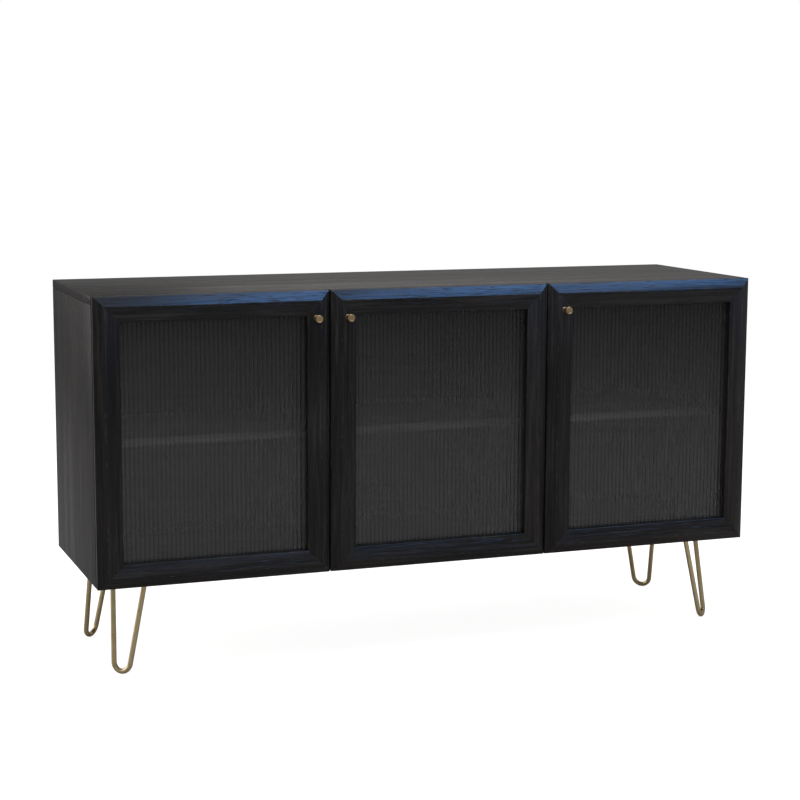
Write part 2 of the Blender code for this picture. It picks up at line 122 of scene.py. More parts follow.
def cutAway(piece, cutters):
    for cutter in cutters:
        combine(piece, cutter, "DIFFERENCE")


def slicePlane(piece, point, normal):
    # everything on the normal's side of the plane goes, and the cut is closed
    pick(piece)
    bpy.ops.object.mode_set(mode="EDIT")
    bpy.ops.mesh.select_all(action="SELECT")
    bpy.ops.mesh.bisect(plane_co=point, plane_no=normal, use_fill=True, clear_outer=True)
    bpy.ops.object.mode_set(mode="OBJECT")


def easeEdges(piece, width, segments, slot=-1):
    # the eased edges go in that material slot, or keep their neighbours' with -1
    ease = piece.modifiers.new("ease", "BEVEL")
    ease.width = width
    ease.segments = segments
    ease.limit_method = "ANGLE"
    ease.angle_limit = radians(easeAngle)
    ease.material = slot
    applyModifier(piece, ease)


def selectBy(kind):
    bpy.context.tool_settings.mesh_select_mode = (kind == "vertex", kind == "edge", kind == "face")


def bevelEdges(piece, chosen, width, segments):
    # chosen says of an edge, by its two ends, whether it is one to round
    pick(piece)
    bpy.ops.object.mode_set(mode="EDIT")
    selectBy("edge")
    bpy.ops.mesh.select_all(action="DESELECT")
    bpy.ops.object.mode_set(mode="OBJECT")
    for edge in piece.data.edges:
        edge.select = chosen(*(piece.data.vertices[i].co for i in edge.vertices))
    bpy.ops.object.mode_set(mode="EDIT")
    bpy.ops.mesh.bevel(offset=width, segments=segments, affect="EDGES")
    bpy.ops.object.mode_set(mode="OBJECT")


def smoothByAngle(piece, degrees):
    pick(piece)
    bpy.ops.object.shade_smooth_by_angle(angle=radians(degrees))


def tidyNormals(piece):
    pick(piece)
    bpy.ops.object.mode_set(mode="EDIT")
    bpy.ops.mesh.select_all(action="SELECT")
    bpy.ops.mesh.remove_doubles(threshold=doublesDistance)
    bpy.ops.mesh.normals_make_consistent(inside=False)
    bpy.ops.object.mode_set(mode="OBJECT")


def joinPieces(name, pieces):
    deselectAll()
    for piece in pieces:
        piece.select_set(True)
    bpy.context.view_layer.objects.active = pieces[0]
    bpy.ops.object.join()
    pieces[0].name = name
    return pieces[0]


def paint(piece, *finishes):
    for material in finishes:
        piece.data.materials.append(material)


def finishPiece(piece, body, node):
    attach(piece, body)
    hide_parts(node)


def finishWood(piece, body, node):
    # each board is cut from another part of the plank, so its grain starts elsewhere
    smoothByAngle(piece, woodSmoothAngle)
    shift = piece.data.attributes.new("boardShift", "FLOAT", "POINT")
    start = next(boardNumbers) * woodGrain["boardStep"] % woodGrain["boardCycle"]
    shift.data.foreach_set("value", [start] * len(piece.data.vertices))
    finishPiece(piece, body, node)


def newMaterial(name):
    material = bpy.data.materials.new(name)
    material.use_nodes = True
    return material, material.node_tree.nodes, material.node_tree.links


def addNode(nodes, kind, **settings):
    node = nodes.new(kind)
    for key, value in settings.items():
        setattr(node, key, value)
    return node


def addNoise(nodes, links, vector, scale, detail, roughness=0.5, distortion=0.0):
    noise = nodes.new("ShaderNodeTexNoise")
    noise.inputs["Scale"].default_value = scale
    noise.inputs["Detail"].default_value = detail
    noise.inputs["Roughness"].default_value = roughness
    noise.inputs["Distortion"].default_value = distortion
    links.new(vector, noise.inputs["Vector"])
    return noise.outputs["Fac"]


def addRamp(nodes, links, fac, stops):
    ramp = nodes.new("ShaderNodeValToRGB")
    ramp.color_ramp.elements[0].position = stops[0][0]
    ramp.color_ramp.elements[0].color = (*stops[0][1], 1)
    ramp.color_ramp.elements[1].position = stops[-1][0]
    ramp.color_ramp.elements[1].color = (*stops[-1][1], 1)
    for place, colour in stops[1:-1]:
        ramp.color_ramp.elements.new(place).color = (*colour, 1)
    links.new(fac, ramp.inputs["Fac"])
    return ramp.outputs["Color"]


def mixColours(nodes, links, share, first, second, blend="MIX"):
    mix = addNode(nodes, "ShaderNodeMix", data_type="RGBA", blend_type=blend)
    for socketName, value in (("Factor", share), ("A", first), ("B", second)):
        socket = mix.inputs[socketName]
        if isinstance(value, bpy.types.NodeSocket):
            links.new(value, socket)
        else:
            socket.default_value = (*value, 1) if isinstance(value, tuple) else value
    return mix.outputs["Result"]


def mapRange(nodes, links, value, fromRange, toRange):
    remap = nodes.new("ShaderNodeMapRange")
    remap.inputs["From Min"].default_value, remap.inputs["From Max"].default_value = fromRange
    remap.inputs["To Min"].default_value, remap.inputs["To Max"].default_value = toRange
    links.new(value, remap.inputs["Value"])
    return remap.outputs["Result"]


def addBump(nodes, links, shader, height, strength, distance):
    bump = nodes.new("ShaderNodeBump")
    bump.inputs["Strength"].default_value = strength
    bump.inputs["Distance"].default_value = distance
    links.new(height, bump.inputs["Height"])
    links.new(bump.outputs["Normal"], shader.inputs["Normal"])


def chooseByRay(nodes, links, ray, others, chosen, output):
    # one kind of ray meets the chosen shader, and all others meet the other one
    rays = nodes.new("ShaderNodeLightPath")
    either = nodes.new("ShaderNodeMixShader")
    links.new(rays.outputs[ray], either.inputs["Fac"])
    links.new(others, either.inputs[1])
    links.new(chosen, either.inputs[2])
    links.new(either.outputs["Shader"], nodes[output].inputs["Surface"])


woodGrain = {
    # along the grain, across it, detail, roughness and distortion
    "bands": (1.0, 19, 6, 0.68, 0.4),
    "streaks": (5, 170, 4, 0.62, 0.0),
    "pores": (28, 620, 2, 0.5, 0.0),
    "wear": (60, 110, 5, 0.7, 0.0),
    # a board's number moves its grain by this much
    "boardStep": 0.618,
    "boardCycle": 7,
    "boardSpread": (1.9, 2.7, 3.3),
    "stainStops": (0.36, 0.51, 0.66),  # streak values of dark, middle and light
    "brownBands": (0.49, 0.66),
    "brownShare": (0.0, 0.45),
    "poreNoise": (0.40, 0.31),
    "poreShare": (0.0, 0.85),
    "rubbedNoise": (0.53, 0.66),
    "roughBands": (0.38, 0.62),
    "bandRelief": 5.0,
    "bumpStrength": 0.7,
    "bumpDepth": 0.0005,
}
blackStain = {
    "dark": (0.0045, 0.0042, 0.0042),
    "middle": (0.0105, 0.0092, 0.0086),
    "light": (0.034, 0.030, 0.028),
    "brown": (0.042, 0.033, 0.028),
    "pore": (0.004, 0.004, 0.0045),
    "rubbed": (0.115, 0.098, 0.082),
    "roughness": (0.27, 0.42),
    "shine": 0.35,
}
shelfEdgeHighlightStain = {  # the shelves' front edges are painted paler, a painted highlight for the light falling on them
    **blackStain,
    "dark": (0.034, 0.032, 0.032),
    "middle": (0.068, 0.062, 0.060),
    "light": (0.120, 0.110, 0.107),
    "brown": (0.088, 0.077, 0.071),
}


def makeWood(name, grainAxis, finish, worn=False):
    material, nodes, links = newMaterial(name)
    shader = nodes["Principled BSDF"]
    coords = nodes.new("ShaderNodeTexCoord").outputs["Object"]
    shift = addNode(nodes, "ShaderNodeAttribute", attribute_name="boardShift").outputs["Fac"]
    spread = addNode(nodes, "ShaderNodeVectorMath", operation="SCALE")
    spread.inputs[0].default_value = woodGrain["boardSpread"]
    links.new(shift, spread.inputs["Scale"])
    moved = addNode(nodes, "ShaderNodeVectorMath", operation="ADD")
    links.new(coords, moved.inputs[0])
    links.new(spread.outputs[0], moved.inputs[1])

    def figure(part):
        along, across, detail, roughness, distortion = woodGrain[part]
        mapping = nodes.new("ShaderNodeMapping")
        scale = [across] * 3
        scale["XYZ".index(grainAxis)] = along
        mapping.inputs["Scale"].default_value = scale
        links.new(moved.outputs[0], mapping.inputs["Vector"])
        return addNoise(nodes, links, mapping.outputs["Vector"], 1.0, detail, roughness, distortion)

    bands = figure("bands")
    streaks = figure("streaks")
    pores = figure("pores")

    tones = (finish["dark"], finish["middle"], finish["light"])
    stain = addRamp(nodes, links, streaks, list(zip(woodGrain["stainStops"], tones)))
    brownShare = mapRange(nodes, links, bands, woodGrain["brownBands"], woodGrain["brownShare"])
    stain = mixColours(nodes, links, brownShare, stain, finish["brown"])
    poreMask = mapRange(nodes, links, pores, woodGrain["poreNoise"], woodGrain["poreShare"])
    stain = mixColours(nodes, links, poreMask, stain, finish["pore"])
    if worn:
        rubbed = mapRange(nodes, links, figure("wear"), woodGrain["rubbedNoise"], (0.0, 1.0))
        stain = mixColours(nodes, links, rubbed, stain, finish["rubbed"])
    links.new(stain, shader.inputs["Base Color"])

    roughness = mapRange(nodes, links, bands, woodGrain["roughBands"], finish["roughness"])
    links.new(roughness, shader.inputs["Roughness"])
    shader.inputs["Specular IOR Level"].default_value = finish["shine"]
    ridges = addNode(nodes, "ShaderNodeMath", operation="MULTIPLY_ADD")
    ridges.inputs[1].default_value = woodGrain["bandRelief"]
    links.new(bands, ridges.inputs[0])
    links.new(streaks, ridges.inputs[2])
    height = addNode(nodes, "ShaderNodeMath", operation="SUBTRACT")
    links.new(ridges.outputs[0], height.inputs[0])
    links.new(poreMask, height.inputs[1])
    addBump(nodes, links, shader, height.outputs[0], woodGrain["bumpStrength"], woodGrain["bumpDepth"])
    return material


woods = {}
for axis in "XZ":
    woods[axis] = (
        makeWood(f"blackStainAlong{axis}", axis, blackStain),
        makeWood(f"rubbedEdgeAlong{axis}", axis, blackStain, worn=True),
    )
shelfEdgeHighlightWood = makeWood("shelfEdgeHighlightAlongX", "X", shelfEdgeHighlightStain)


metalGrain = {
    # scale, detail and roughness
    "cloud": (38, 4, 0.6),
    "speck": (420, 3, 0.6),
    "fine": (1500, 2, 0.5),
    "colourStops": (0.32, 0.68),
    "tarnishSpecks": (0.60, 0.72),
    "tarnishShare": (0.0, 0.55),
    "roughClouds": (0.3, 0.7),
    "bumpStrength": 0.12,
    "bumpDepth": 0.0001,
}
metals = {
    "satinBrass": {
        "dull": (0.84, 0.66, 0.36), "bright": (0.96, 0.79, 0.46), "tarnish": (0.50, 0.36, 0.18),
        "roughness": (0.25, 0.36),
    },
    "agedBrass": {
        "dull": (0.63, 0.44, 0.24), "bright": (0.73, 0.53, 0.31), "tarnish": (0.38, 0.26, 0.14),
        "roughness": (0.30, 0.42),
    },
    "zincSteel": {
        "dull": (0.46, 0.46, 0.47), "bright": (0.60, 0.60, 0.60), "tarnish": (0.25, 0.24, 0.23),
        "roughness": (0.24, 0.36),
    },
}


def makeMetal(name):
    metal = metals[name]
    material, nodes, links = newMaterial(name)
    shader = nodes["Principled BSDF"]
    shader.inputs["Metallic"].default_value = 1.0
    coords = nodes.new("ShaderNodeTexCoord").outputs["Object"]
    cloud = addNoise(nodes, links, coords, *metalGrain["cloud"])
    speck = addNoise(nodes, links, coords, *metalGrain["speck"])
    fine = addNoise(nodes, links, coords, *metalGrain["fine"])
    tones = (metal["dull"], metal["bright"])
    colour = addRamp(nodes, links, cloud, list(zip(metalGrain["colourStops"], tones)))
    spots = mapRange(nodes, links, speck, metalGrain["tarnishSpecks"], metalGrain["tarnishShare"])
    links.new(mixColours(nodes, links, spots, colour, metal["tarnish"]), shader.inputs["Base Color"])
    roughness = mapRange(nodes, links, cloud, metalGrain["roughClouds"], metal["roughness"])
    links.new(roughness, shader.inputs["Roughness"])
    addBump(nodes, links, shader, fine, metalGrain["bumpStrength"], metalGrain["bumpDepth"])
    return material


satinBrass = makeMetal("satinBrass")
agedBrass = makeMetal("agedBrass")
zincSteel = makeMetal("zincSteel")


clearGlass = {
    "tint": ((0.80, 0.815, 0.815), (0.86, 0.87, 0.875)),
    "tintStops": (0.3, 0.7),
    "tintNoise": (6, 4, 0.6),  # scale, detail and roughness
    # painted shade darkening the grooves between the reeds
    "shadeInGrooves": (0.36, 0.37, 0.37),
    "shadeInGroovesStops": (0.08, 0.20, 0.26, 0.32),  # share of the pane's thickness, from its front
    "clarity": 0.980,  # the rest is a faint haze
    "ior": 1.5,
    "shine": 0.3,
    "roughness": 0.035,
    "shadowTint": (0.93, 0.95, 0.95),
}


def makeGlass():
    material, nodes, links = newMaterial("reededGlass")
    shader = nodes["Principled BSDF"]
    shader.inputs["Transmission Weight"].default_value = clearGlass["clarity"]
    shader.inputs["IOR"].default_value = clearGlass["ior"]
    shader.inputs["Specular IOR Level"].default_value = clearGlass["shine"]
    shader.inputs["Roughness"].default_value = clearGlass["roughness"]
    coords = nodes.new("ShaderNodeTexCoord").outputs["Object"]
    cloud = addNoise(nodes, links, coords, *clearGlass["tintNoise"])
    tint = addRamp(nodes, links, cloud, list(zip(clearGlass["tintStops"], clearGlass["tint"])))
    # painted shade: the grooves between the reeds, which lie deepest behind the front of the pane, are
    # darkened
    low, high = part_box("left_door_glass")
    place = nodes.new("ShaderNodeSeparateXYZ")
    links.new(coords, place.inputs["Vector"])
    depth = mapRange(nodes, links, place.outputs["Y"], (low.y, high.y), (0.0, 1.0))
    unshadedTone = (1, 1, 1)
    shadedTone = clearGlass["shadeInGrooves"]
    paintedShade = addRamp(
        nodes, links, depth, list(zip(clearGlass["shadeInGroovesStops"], (unshadedTone, shadedTone, shadedTone, unshadedTone))))
    tint = mixColours(nodes, links, 1.0, tint, paintedShade, "MULTIPLY")
    links.new(tint, shader.inputs["Base Color"])
    # lamps shine straight through the pane, tinted
    through = nodes.new("ShaderNodeBsdfTransparent")
    through.inputs["Color"].default_value = (*clearGlass["shadowTint"], 1)
    chooseByRay(nodes, links, "Is Shadow Ray", shader.outputs["BSDF"], through.outputs["BSDF"],
                "Material Output")
    return material


reededGlass = makeGlass()
print("finishes made")


boardShape = {"edgeEase": 0.0009, "easeSegments": 2, "fit": 0.0003}
boards = {
    # node, axis of the grain, and the boards that are let into this one
    "topBoard": ("top_panel", "X", ("back_panel", "left_divider", "right_divider")),
    "bottomBoard": ("bottom_panel", "X", ("back_panel", "left_divider", "right_divider")),
    "leftSideBoard": ("left_side_panel", "Z", ("back_panel", "left_shelf")),
    "rightSideBoard": ("right_side_panel", "Z", ("back_panel", "right_shelf")),
    "leftDividerBoard": ("left_divider", "Z", ("left_shelf", "middle_shelf")),
    "rightDividerBoard": ("right_divider", "Z", ("middle_shelf", "right_shelf")),
    "backBoard": ("back_panel", "X", ()),
    "leftShelfBoard": ("left_shelf", "X", ()),
    "middleShelfBoard": ("middle_shelf", "X", ()),
    "rightShelfBoard": ("right_shelf", "X", ()),
}


def makeBoard(name, node, grain, seats):
    low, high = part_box(node)
    board = addBlock(name, low, high)
    paint(board, *woods[grain])
    if node.endswith("shelf"):
        paint(board, shelfEdgeHighlightWood)
        for face in board.data.polygons:
            if face.normal.y < -0.99:  # the front edge, painted paler as a highlight
                face.material_index = shelfEdgeHighlightSlot
    easeEdges(board, boardShape["edgeEase"], boardShape["easeSegments"], rubbedSlot)
    fit = Vector((boardShape["fit"],) * 3)
    cutters = []
    for other in seats:
        otherLow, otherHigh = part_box(other)
        cutters.append(addBlock("seat", otherLow - fit, otherHigh + fit))
    cutAway(board, cutters)
    finishWood(board, "carcase", node)


for name, (node, grain, seats) in boards.items():
    makeBoard(name, node, grain, seats)
print("carcase boards made")


doorFrame = {
    "chamferWidth": 0.021,
    "chamferDepth": 0.013,
    "rebateWidth": 0.010,
    "glassSetback": 0.014,
    "edgeEase": 0.0006,
    "easeSegments": 2,
    "mitreGap": 0.00012,
    "cutPast": 0.002,
    "cupFit": 0.0003,
    "cupSides": 48,
    "screwHoleRadius": 0.0023,
    "screwHoleLength": 0.040,
    "screwHoleSides": 16,
    # piece, node, outward direction (x, z) and axis of the grain
    "members": (
        ("LeftStile", "left_stile", (-1, 0), "Z"),
        ("RightStile", "right_stile", (1, 0), "Z"),
        ("TopRail", "top_rail", (0, 1), "X"),
        ("BottomRail", "bottom_rail", (0, -1), "X"),
    ),
}
hinges = {"left_door": -1, "middle_door": 1, "right_door": 1}  # which edge each door hangs on


def makeMember(name, node, side, grain, doorLow, doorHigh):
    low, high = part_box(node)
    outward = Vector((side[0], 0, side[1]))
    along = Vector((abs(side[1]), 0, abs(side[0])))
    member = addBlock(name, low, high)
    paint(member, *woods[grain])
    # the wide chamfer on the outer front edge
    edge = Vector((high.x if side[0] > 0 else low.x, low.y + doorFrame["chamferDepth"],
                   high.z if side[1] > 0 else low.z))
    normal = outward * doorFrame["chamferDepth"] + Vector((0, -1, 0)) * doorFrame["chamferWidth"]
    slicePlane(member, edge, normal)
    # the rebate for the glass at the inner back edge
    width = doorFrame["rebateWidth"]
    past = Vector((doorFrame["cutPast"],) * 3)
    cutLow, cutHigh = low - past, high + past
    cutLow.y = low.y + doorFrame["glassSetback"]
    for axis, sign in ((0, side[0]), (2, side[1])):
        if sign > 0:
            cutHigh[axis] = low[axis] + width
        elif sign < 0:
            cutLow[axis] = high[axis] - width
    cutAway(member, [addBlock("rebate", cutLow, cutHigh)])
    # a mitre at each end
    for end in (-1, 1):
        corner = Vector((doorLow.x if (along * end).x < 0 or side[0] < 0 else doorHigh.x, 0,
                         doorLow.z if (along * end).z < 0 or side[1] < 0 else doorHigh.z))
        plane = (along * end - outward).normalized()
        slicePlane(member, corner - plane * doorFrame["mitreGap"] / 2, plane)
    easeEdges(member, doorFrame["edgeEase"], doorFrame["easeSegments"], rubbedSlot)
    return member


def cupBore(node, doorHigh):
    low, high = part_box(node)
    centre = (low + high) / 2
    radius = (high.x - low.x) / 2 + doorFrame["cupFit"]
    depth = doorHigh.y - low.y + doorFrame["cupFit"]
    middle = (centre.x, doorHigh.y - depth / 2 + doorFrame["cutPast"] / 2, centre.z)
    return addRodAlongY("bore", middle, radius, depth + doorFrame["cutPast"], doorFrame["cupSides"])


def screwHole(node, doorLow, doorHigh):
    low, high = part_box(node)
    centre = (low + high) / 2
    return addRodAlongY("hole", (centre.x, (doorLow.y + doorHigh.y) / 2, centre.z),
                        doorFrame["screwHoleRadius"], doorFrame["screwHoleLength"],
                        doorFrame["screwHoleSides"])


def makeDoorFrame(door, word):
    doorLow = Vector(map(min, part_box(f"{door}_left_stile")[0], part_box(f"{door}_bottom_rail")[0]))
    doorHigh = Vector(map(max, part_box(f"{door}_right_stile")[1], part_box(f"{door}_top_rail")[1]))
    for part, nodePart, side, grain in doorFrame["members"]:
        node = f"{door}_{nodePart}"
        member = makeMember(f"{word}Door{part}", node, side, grain, doorLow, doorHigh)
        if side[0] == hinges[door]:  # cups sit in bores in the hinge stile
            for level in ("lower", "upper"):
                cutAway(member, [cupBore(f"{door}_{level}_hinge_cup", doorHigh)])
        elif side[0]:  # the knob's screw passes through the other stile
            cutAway(member, [screwHole(f"{door}_knob", doorLow, doorHigh)])
        finishWood(member, door, node)


beadShape = {
    "roundOver": 0.003,
    "roundSegments": 4,
    "edgeEase": 0.0003,
    "easeSegments": 1,
    # part, axis of the grain and inward direction (x, z)
    "sides": (
        ("top", "X", (0, -1)), ("bottom", "X", (0, 1)), ("left", "Z", (1, 0)), ("right", "Z", (-1, 0)),
    ),
}


def makeBeads(door, word):
    for part, grain, inward in beadShape["sides"]:
        node = f"{door}_{part}_bead"
        low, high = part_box(node)
        bead = addBlock(f"{word}Door{part.capitalize()}Bead", low, high)
        paint(bead, *woods[grain])
        innerX = high.x if inward[0] > 0 else low.x
        innerZ = high.z if inward[1] > 0 else low.z

        def innerBackEdge(a, b):
            middle = (a + b) / 2
            inner = (inward[0] and abs(middle.x - innerX) < doublesDistance) or (
                inward[1] and abs(middle.z - innerZ) < doublesDistance)
            return bool(inner and abs(middle.y - high.y) < doublesDistance)

        bevelEdges(bead, innerBackEdge, beadShape["roundOver"], beadShape["roundSegments"])
        easeEdges(bead, beadShape["edgeEase"], beadShape["easeSegments"], rubbedSlot)
        finishWood(bead, door, node)


pane = {
    "reedPitch": 0.0095,
    "reedHeight": 0.0012,
    "stepsPerReed": 8,
    "mergeDistance": 0.00002,
    "smoothAngle": 30,
}


def makePane(door, word):
    node = f"{door}_glass"
    low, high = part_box(node)
    reedCount = round((high.x - low.x) / pane["reedPitch"])
    pitch = (high.x - low.x) / reedCount
    radius = (pitch ** 2 / 4 + pane["reedHeight"] ** 2) / (2 * pane["reedHeight"])
    halfAngle = asin(pitch / 2 / radius)
    # one upright line spun about the reed's own axis
    deselectAll()
    bpy.ops.mesh.primitive_plane_add(size=1, location=(0, 0, 0))
    sheet = bpy.context.active_object
    sheet.name = f"{word}DoorGlass"
    bpy.ops.object.mode_set(mode="EDIT")
    selectBy("vertex")
    bpy.ops.mesh.select_all(action="SELECT")
    bpy.ops.mesh.merge(type="CENTER")
    bpy.ops.transform.translate(value=(low.x, low.y + pane["reedHeight"], low.z))
    bpy.ops.mesh.extrude_region_move(TRANSFORM_OT_translate={"value": (0, 0, high.z - low.z)})
    bpy.ops.mesh.select_all(action="SELECT")
    bpy.ops.mesh.spin(steps=pane["stepsPerReed"], angle=-2 * halfAngle, axis=(0, 0, 1),
                      center=(low.x + pitch / 2, low.y + radius, low.z))
    bpy.ops.object.mode_set(mode="OBJECT")
    reeds = sheet.modifiers.new("reeds", "ARRAY")
    reeds.use_relative_offset = False
    reeds.use_constant_offset = True
    reeds.constant_offset_displace = (pitch, 0, 0)
    reeds.count = reedCount
    reeds.use_merge_vertices = True
    reeds.merge_threshold = pane["mergeDistance"]
    applyModifier(sheet, reeds)
    # the back is the same sheet drawn out and pressed flat
    bpy.ops.object.mode_set(mode="EDIT")
    bpy.ops.mesh.select_all(action="SELECT")
    bpy.ops.mesh.extrude_region_move(TRANSFORM_OT_translate={"value": (0, high.y - low.y, 0)})
    bpy.ops.transform.resize(value=(1, 0, 1), center_override=(low.x, high.y, low.z))
    bpy.ops.object.mode_set(mode="OBJECT")
    tidyNormals(sheet)
    smoothByAngle(sheet, pane["smoothAngle"])
    paint(sheet, reededGlass)
    finishPiece(sheet, door, node)


def makeTurned(name, rings, sides, centre, outward):
    # a disc drawn out ring by ring, as on a lathe
    deselectAll()
    bpy.ops.mesh.primitive_circle_add(vertices=sides, radius=rings[0][0], fill_type="NGON",
                                      location=(0, 0, rings[0][1]))
    turned = bpy.context.active_object
    turned.name = name
    applyPlace(turned)
    bpy.ops.object.mode_set(mode="EDIT")
    bpy.ops.mesh.select_all(action="SELECT")
    for (radius, height), (nextRadius, nextHeight) in zip(rings, rings[1:]):
        bpy.ops.mesh.extrude_region_move(
            TRANSFORM_OT_translate={"value": (0, 0, nextHeight - height)})
        ratio = nextRadius / radius
        bpy.ops.transform.resize(value=(ratio, ratio, 1), center_override=(0, 0, nextHeight))
    bpy.ops.object.mode_set(mode="OBJECT")
    turned.rotation_mode = "QUATERNION"
    turned.rotation_quaternion = Vector(outward).to_track_quat("Z", "Y")
    turned.location = centre
    applyPlace(turned)
    tidyNormals(turned)
    smoothByAngle(turned, turnedSmoothAngle)
    return turned


knobShape = {
    # radius and distance out from the door, from the foot to the dish
    "rings": [(0.0060, 0.0), (0.0060, 0.0012), (0.0056, 0.0018), (0.0047, 0.0030), (0.0043, 0.0050),
              (0.0043, 0.0095), (0.0047, 0.0120), (0.0060, 0.0150), (0.0074, 0.0176),
              (0.0081, 0.0196), (0.0082, 0.0206), (0.0082, 0.0236), (0.0080, 0.0244),
              (0.0075, 0.0249), (0.0069, 0.0250), (0.0064, 0.0247), (0.0060, 0.0241),
              (0.0045, 0.0238), (0.0020, 0.0237)],
    "sides": 48,
}


def makeKnob(door, word):
    node = f"{door}_knob"
    low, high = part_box(node)
    foot = ((low.x + high.x) / 2, high.y, (low.z + high.z) / 2)
    knob = makeTurned(f"{word}DoorKnob", knobShape["rings"], knobShape["sides"], foot, (0, -1, 0))
    paint(knob, agedBrass)
    finishPiece(knob, door, node)


for door in hinges:
    word = door.split("_")[0]
    makeDoorFrame(door, word)
    makeBeads(door, word)
    makePane(door, word)
    makeKnob(door, word)
    print(door, "made")


legShape = {
    "rodRadius": 0.0055,
    "rodSides": 24,
    "topSpacing": 0.081,
    "bendRadius": 0.0205,
    "bendSteps": 32,
    "splay": 0.036,
    "splayHeight": 0.202,
    "plateLength": 0.110,
    "plateWidth": 0.060,
    "plateThickness": 0.004,
    "plateCorner": 0.010,
    "cornerSegments": 8,
    "plateEase": 0.0005,
    "easeSegments": 2,
    "weldRadius": 0.0066,
    "weldThickness": 0.0017,
    "weldSegments": (28, 8),
    "smoothAngle": 35,
}
legs = {
    # node, and the corner it stands at: left or right, front or back
    "frontLeft": ("front_left_leg", -1, -1),
    "frontRight": ("front_right_leg", 1, -1),
    "backLeft": ("back_left_leg", -1, 1),
    "backRight": ("back_right_leg", 1, 1),
}
screwShape = {
    "rings": [(0.0042, 0.0), (0.0042, 0.0006), (0.0039, 0.0013), (0.0031, 0.0019), (0.0018, 0.0023)],
    "sides": 20,
    "slotWidth": 0.0008,
    "slotLength": 0.0046,
    "slotDepth": 0.0012,
    "slotTurn": (31, 57),  # no two slots stand at one angle
    "places": [(-0.045, -0.0185), (-0.045, 0.0185), (0.045, -0.0185), (0.045, 0.0185), (0, 0)],
}


def makeHairpin(height):
    # the rod lies in the plane across X and up Z, its lowest point at the origin
    radius, half = legShape["bendRadius"], legShape["topSpacing"] / 2
    rise = height - radius
    tangent = atan2(rise, half) - acos(radius / hypot(half, rise))
    end = Vector((radius * cos(tangent), 0, radius + radius * sin(tangent)))
    top = Vector((half, 0, height))
    run = end - top
    deselectAll()
    bpy.ops.mesh.primitive_circle_add(vertices=legShape["rodSides"], radius=legShape["rodRadius"])
    rod = bpy.context.active_object
    rod.rotation_mode = "QUATERNION"
    rod.rotation_quaternion = run.to_track_quat("Z", "Y")
    rod.location = top
    applyPlace(rod)
    bpy.ops.object.mode_set(mode="EDIT")
    selectBy("vertex")
    bpy.ops.mesh.select_all(action="SELECT")
    bpy.ops.mesh.extrude_region_move(TRANSFORM_OT_translate={"value": run})
    bpy.ops.mesh.spin(steps=legShape["bendSteps"], angle=-(pi + 2 * tangent), axis=(0, 1, 0),
                      center=(0, 0, radius))
    bpy.ops.mesh.extrude_region_move(TRANSFORM_OT_translate={"value": (-half + end.x, 0, -run.z)})
    bpy.ops.mesh.select_all(action="SELECT")
    bpy.ops.mesh.fill_holes(sides=legShape["rodSides"])
    bpy.ops.object.mode_set(mode="OBJECT")
    tidyNormals(rod)
    return rod


def makeScrew():
    # a cross-head screw, upside down as under a leg's plate
    screw = makeTurned("screw", screwShape["rings"], screwShape["sides"], (0, 0, 0), (0, 0, -1))
    length, width, depth = (screwShape[k] / 2 for k in ("slotLength", "slotWidth", "slotDepth"))
    top = -screwShape["rings"][-1][1]
    cutAway(screw, [
        addBlock("slot", (-length, -width, top - depth), (length, width, top + depth)),
        addBlock("slot", (-width, -length, top - depth), (width, length, top + depth)),
    ])
    return screw


def makePlate():
    length, width, thickness = (legShape[k] for k in ("plateLength", "plateWidth", "plateThickness"))
    plate = addBlock("plate", (-length / 2, -width / 2, -thickness), (length / 2, width / 2, 0))

    def uprightEdge(a, b):
        return abs(a.z - b.z) > thickness / 2

    bevelEdges(plate, uprightEdge, legShape["plateCorner"], legShape["cornerSegments"])
    easeEdges(plate, legShape["plateEase"], legShape["easeSegments"])
    return plate


def makeWeld(place):
    rounds, sides = legShape["weldSegments"]
    deselectAll()
    bpy.ops.mesh.primitive_torus_add(
        location=place, major_radius=legShape["weldRadius"], minor_radius=legShape["weldThickness"],
        major_segments=rounds, minor_segments=sides)
    weld = bpy.context.active_object
    applyPlace(weld)
    return weld


def makeLeg(name, node, side, end, screwPattern):
    low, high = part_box(node)
    outward = Vector((side, end, 0)).normalized()
    across = Vector((outward.y, -outward.x, 0))
    thickness = legShape["plateThickness"]
    slope = legShape["splay"] / legShape["splayHeight"]
    middle = Vector(((low.x + high.x) / 2, (low.y + high.y) / 2, high.z))
    under = middle - Vector((0, 0, thickness))
    turn = Matrix.Rotation(atan2(across.y, across.x), 4, "Z")

    # the hairpin leans outward from the plate to the floor
    lowest = legShape["rodRadius"]
    splayAngle = atan2(slope, 1)
    rod = makeHairpin((high.z - thickness / 2 - lowest) / cos(splayAngle))
    leanSign = -1 if (turn @ Vector((0, 1, 0))).dot(outward) < 0 else 1
    foot = middle + outward * (legShape["splay"] - slope * lowest)
    foot.z = lowest
    rod.matrix_world = Matrix.Translation(foot) @ turn @ Matrix.Rotation(leanSign * splayAngle, 4, "X")
    applyPlace(rod)

    plate = makePlate()
    plate.matrix_world = Matrix.Translation(middle) @ turn
    applyPlace(plate)
    for sign in (-1, 1):
        weld = makeWeld(under + across * sign * legShape["topSpacing"] / 2)
        combine(rod, weld, "UNION")
    combine(plate, rod, "UNION")
    smoothByAngle(plate, legShape["smoothAngle"])
    plate.name = f"{name}Leg"
    paint(plate, satinBrass)
    finishPiece(plate, "carcase", node)

    screws = []
    turnX, turnY = screwShape["slotTurn"]
    for x, y in screwShape["places"]:
        pick(screwPattern)
        bpy.ops.object.duplicate()
        screw = bpy.context.active_object
        screw.matrix_world = Matrix.Translation(under) @ turn @ (
            Matrix.Translation(Vector((x, y, 0))) @ Matrix.Rotation(x * turnX + y * turnY, 4, "Z"))
        applyPlace(screw)
        screws.append(screw)
    screws = joinPieces(f"{name}LegScrews", screws)
    paint(screws, zincSteel)
    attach(screws, "carcase")


screwPattern = makeScrew()
for name, (node, side, end) in legs.items():
    makeLeg(name, node, side, end, screwPattern)
bpy.data.objects.remove(screwPattern, do_unlink=True)
print("legs made")


